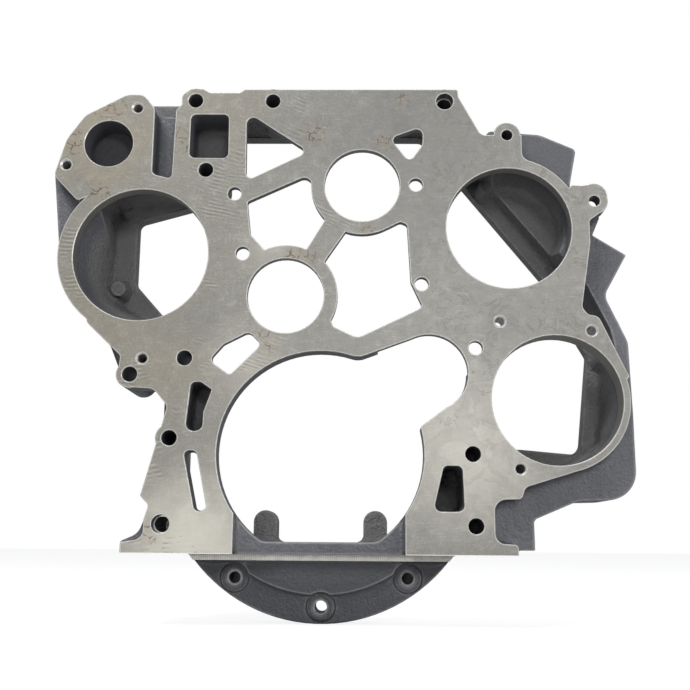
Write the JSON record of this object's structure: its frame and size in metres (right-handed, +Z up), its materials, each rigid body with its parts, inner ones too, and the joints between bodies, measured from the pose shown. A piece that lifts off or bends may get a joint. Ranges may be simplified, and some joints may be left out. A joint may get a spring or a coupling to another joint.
{
  "type": "timing cover",
  "caption": "Cast-iron timing gear case of a diesel engine: machined block face with gear bores, bolt and dowel holes, windows, pan rail and a half-moon for the pan.",
  "frame": {"origin": "the crankshaft axis where it crosses the machined face that bolts to the engine block", "axes": "+Z up, along the line from the half-moon to the top edge; -Y out of the machined block face; +X to the right as the block face is looked at"},
  "size_m": [0.4316, 0.075, 0.4026],
  "materials": {
    "cast_iron": "raw sand-cast skin with milled faces"
  },
  "bodies": {
    "root": {"timing_cover": "cast_iron"}
  },
  "joints": []
}
